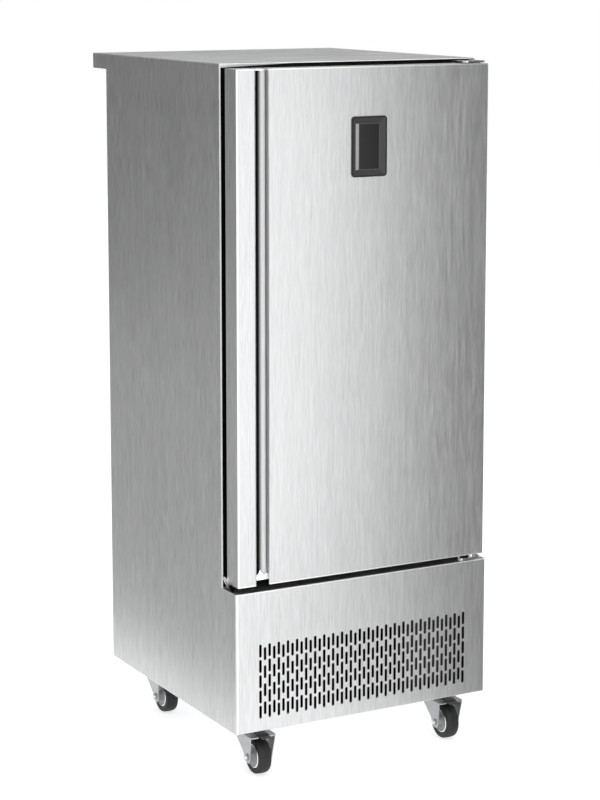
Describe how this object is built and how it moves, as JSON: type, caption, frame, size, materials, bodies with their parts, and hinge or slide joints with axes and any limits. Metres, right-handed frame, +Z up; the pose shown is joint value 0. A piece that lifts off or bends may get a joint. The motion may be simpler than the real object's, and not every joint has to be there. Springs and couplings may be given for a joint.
{
  "type": "blast chiller",
  "caption": "Upright brushed stainless blast chiller on swivel casters, with a full-height groove handle, slotted base and small display.",
  "frame": {"origin": "on the floor, at the middle of the whole outline", "axes": "+Z up, -Y to the front where the door is, +X to the hinge side of the door"},
  "size_m": [0.8, 0.9192, 1.955],
  "materials": {
    "stainless_outer": "satin brushed stainless sheet, vertical grain",
    "stainless_liner": "finer brushed stainless sheet",
    "stainless_hardware": "plain stainless hardware",
    "galvanised_sheet": "zinc coated steel sheet",
    "foam": "rigid polyurethane foam",
    "black_frame_plastic": "black plastic breaker strip",
    "gasket_rubber": "black magnetic door seal",
    "bush_plastic": "white acetal bush",
    "bright_cap": "bright moulded end cap",
    "bezel_plastic": "dark grey moulded frame",
    "display_glass": "dark touch glass",
    "circuit_board": "green circuit board",
    "coil_aluminium": "aluminium fins",
    "motor_black": "black enamelled motor",
    "fan_plastic": "black moulded fan",
    "guard_wire": "bright wire guard",
    "socket_plastic": "black moulded socket",
    "compressor_paint": "black enamelled shell",
    "grommet_rubber": "black rubber foot",
    "copper": "copper tube",
    "switchgear_paint": "light grey painted sheet",
    "caster_zinc": "bright zinc plated steel",
    "axle_zinc": "zinc plated bolt",
    "wheel_plastic": "grey moulded wheel centre",
    "wheel_tread": "dark grey rubber tread",
    "pedal_black": "black brake pedal"
  },
  "bodies": {
    "cabinet": {"left_side_panel": "stainless_outer", "right_side_panel": "stainless_outer", "back_panel": "stainless_outer", "top_panel": "stainless_outer", "base_front_panel": "stainless_outer", "chamber_liner": "stainless_liner", "evaporator_panel": "stainless_liner", "tray_rack_left": "stainless_liner", "tray_rack_right": "stainless_liner", "hinge_brackets": "stainless_hardware", "panel_screws": "stainless_hardware", "base_pan": "galvanised_sheet", "machine_deck": "galvanised_sheet", "condenser_shroud": "galvanised_sheet", "cabinet_insulation": "foam", "breaker_frame": "black_frame_plastic", "evaporator_coil": "coil_aluminium", "condenser_coil": "coil_aluminium", "evaporator_fan_motors": "motor_black", "condenser_fan_motor": "motor_black", "fan_guards": "guard_wire", "probe_socket": "socket_plastic", "cable_gland": "socket_plastic", "compressor": "compressor_paint", "compressor_grommets": "grommet_rubber", "refrigerant_pipes": "copper", "filter_drier": "copper", "electrical_box": "switchgear_paint", "caster_plates": "caster_zinc"},
    "door": {"door_outer_skin": "stainless_outer", "door_inner_panel": "stainless_liner", "door_end_plates": "stainless_outer", "door_insulation": "foam", "door_gasket": "gasket_rubber", "door_hinge_bushes": "bush_plastic", "handle_end_caps": "bright_cap", "display_bezel": "bezel_plastic", "display_glass": "display_glass", "display_board": "circuit_board"},
    "evaporator_fan_lower": {"evaporator_fan_lower": "fan_plastic"},
    "evaporator_fan_upper": {"evaporator_fan_upper": "fan_plastic"},
    "condenser_fan": {"condenser_fan": "fan_plastic"},
    "caster_front_left": {"caster_fork_front_left": "caster_zinc", "caster_axle_front_left": "axle_zinc"},
    "wheel_front_left": {"wheel_hub_front_left": "wheel_plastic", "wheel_tyre_front_left": "wheel_tread"},
    "pedal_front_left": {"brake_pedal_front_left": "pedal_black"},
    "caster_front_right": {"caster_fork_front_right": "caster_zinc", "caster_axle_front_right": "axle_zinc"},
    "wheel_front_right": {"wheel_hub_front_right": "wheel_plastic", "wheel_tyre_front_right": "wheel_tread"},
    "pedal_front_right": {"brake_pedal_front_right": "pedal_black"},
    "caster_rear_left": {"caster_fork_rear_left": "caster_zinc", "caster_axle_rear_left": "axle_zinc"},
    "wheel_rear_left": {"wheel_hub_rear_left": "wheel_plastic", "wheel_tyre_rear_left": "wheel_tread"},
    "caster_rear_right": {"caster_fork_rear_right": "caster_zinc", "caster_axle_rear_right": "axle_zinc"},
    "wheel_rear_right": {"wheel_hub_rear_right": "wheel_plastic", "wheel_tyre_rear_right": "wheel_tread"}
  },
  "joints": [
    {"name": "door_hinge", "type": "hinge", "parent": "cabinet", "child": "door", "pos_m": [0.3706, -0.4226, 1.24625], "axis": [0, 0, 1], "range_deg": [0, 110]},
    {"name": "evaporator_fan_lower_spin", "type": "hinge", "parent": "cabinet", "child": "evaporator_fan_lower", "pos_m": [0, 0.1014, 0.94558], "axis": [0, 1, 0], "continuous": true},
    {"name": "evaporator_fan_upper_spin", "type": "hinge", "parent": "cabinet", "child": "evaporator_fan_upper", "pos_m": [0, 0.1014, 1.53573], "axis": [0, 1, 0], "continuous": true},
    {"name": "condenser_fan_spin", "type": "hinge", "parent": "cabinet", "child": "condenser_fan", "pos_m": [-0.1125, -0.3724, 0.318], "axis": [0, 1, 0], "continuous": true},
    {"name": "swivel_front_left", "type": "hinge", "parent": "cabinet", "child": "caster_front_left", "pos_m": [-0.305, -0.3654, 0.114], "axis": [0, 0, 1], "continuous": true},
    {"name": "roll_front_left", "type": "hinge", "parent": "caster_front_left", "child": "wheel_front_left", "pos_m": [-0.305, -0.3994, 0.0508], "axis": [1, 0, 0], "continuous": true},
    {"name": "brake_front_left", "type": "hinge", "parent": "caster_front_left", "child": "pedal_front_left", "pos_m": [-0.305, -0.4024, 0.117], "axis": [1, 0, 0], "range_deg": [0, 10]},
    {"name": "swivel_front_right", "type": "hinge", "parent": "cabinet", "child": "caster_front_right", "pos_m": [0.305, -0.3654, 0.114], "axis": [0, 0, 1], "continuous": true},
    {"name": "roll_front_right", "type": "hinge", "parent": "caster_front_right", "child": "wheel_front_right", "pos_m": [0.305, -0.3994, 0.0508], "axis": [1, 0, 0], "continuous": true},
    {"name": "brake_front_right", "type": "hinge", "parent": "caster_front_right", "child": "pedal_front_right", "pos_m": [0.305, -0.4024, 0.117], "axis": [1, 0, 0], "range_deg": [0, 10]},
    {"name": "swivel_rear_left", "type": "hinge", "parent": "cabinet", "child": "caster_rear_left", "pos_m": [-0.305, 0.2296, 0.114], "axis": [0, 0, 1], "continuous": true},
    {"name": "roll_rear_left", "type": "hinge", "parent": "caster_rear_left", "child": "wheel_rear_left", "pos_m": [-0.305, 0.1956, 0.0508], "axis": [1, 0, 0], "continuous": true},
    {"name": "swivel_rear_right", "type": "hinge", "parent": "cabinet", "child": "caster_rear_right", "pos_m": [0.305, 0.2296, 0.114], "axis": [0, 0, 1], "continuous": true},
    {"name": "roll_rear_right", "type": "hinge", "parent": "caster_rear_right", "child": "wheel_rear_right", "pos_m": [0.305, 0.1956, 0.0508], "axis": [1, 0, 0], "continuous": true}
  ]
}
